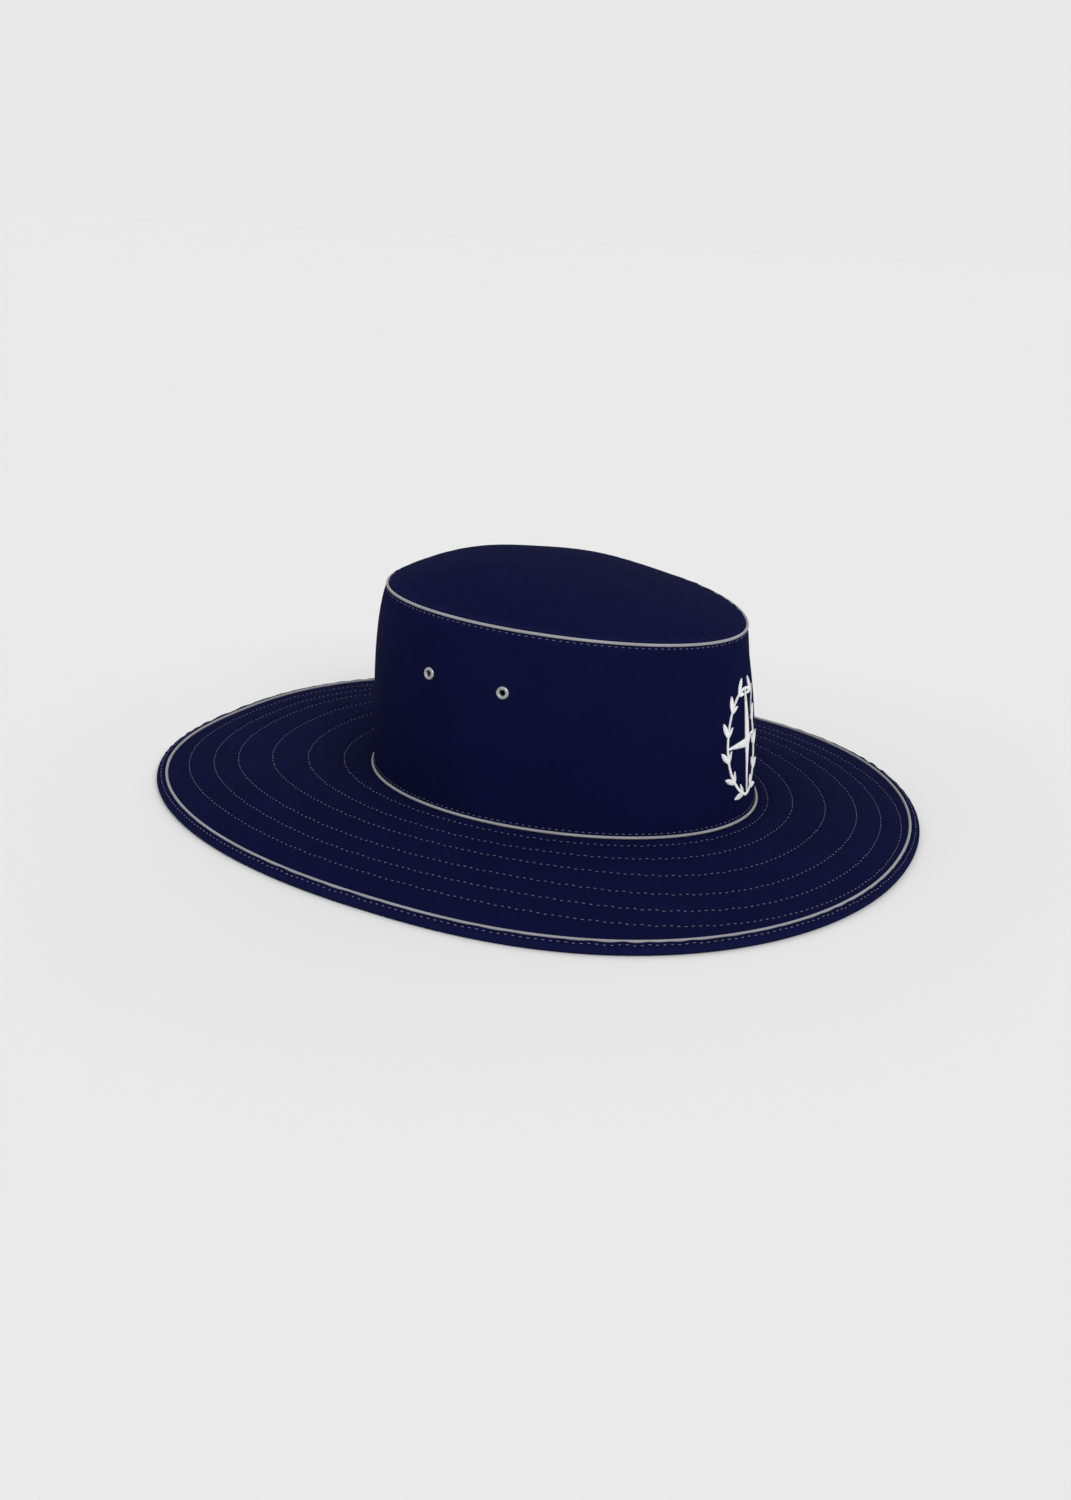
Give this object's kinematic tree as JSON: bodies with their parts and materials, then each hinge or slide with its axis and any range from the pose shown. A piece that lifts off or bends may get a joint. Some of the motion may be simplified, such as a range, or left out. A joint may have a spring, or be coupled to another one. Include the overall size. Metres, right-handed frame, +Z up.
{
  "type": "wide-brim hat",
  "caption": "Soft navy cotton hat with a domed oval crown, a row-stitched wide brim with a bound edge, light corded seams, metal air eyelets and an embroidered badge.",
  "frame": {"origin": "middle of the brim's oval, on the surface that the hat rests on", "axes": "+X towards the front of the hat, where the badge is, +Y towards the wearer's left, +Z up"},
  "size_m": [0.3788, 0.327, 0.1155],
  "materials": {
    "navy_cotton": "matt cotton twill, row-stitched on the brim",
    "grey_cord": "matt fine corded piping",
    "eyelet_metal": "satin",
    "white_thread": "satin-stitch embroidery with a slight sheen"
  },
  "bodies": {
    "root": {"crown_tip": "navy_cotton", "crown_side_band": "navy_cotton", "brim": "navy_cotton", "brim_binding": "navy_cotton", "top_piping": "grey_cord", "base_piping": "grey_cord", "binding_piping": "grey_cord", "eyelet_right_back": "eyelet_metal", "eyelet_right_front": "eyelet_metal", "eyelet_left_back": "eyelet_metal", "eyelet_left_front": "eyelet_metal", "front_badge": "white_thread"}
  },
  "joints": []
}
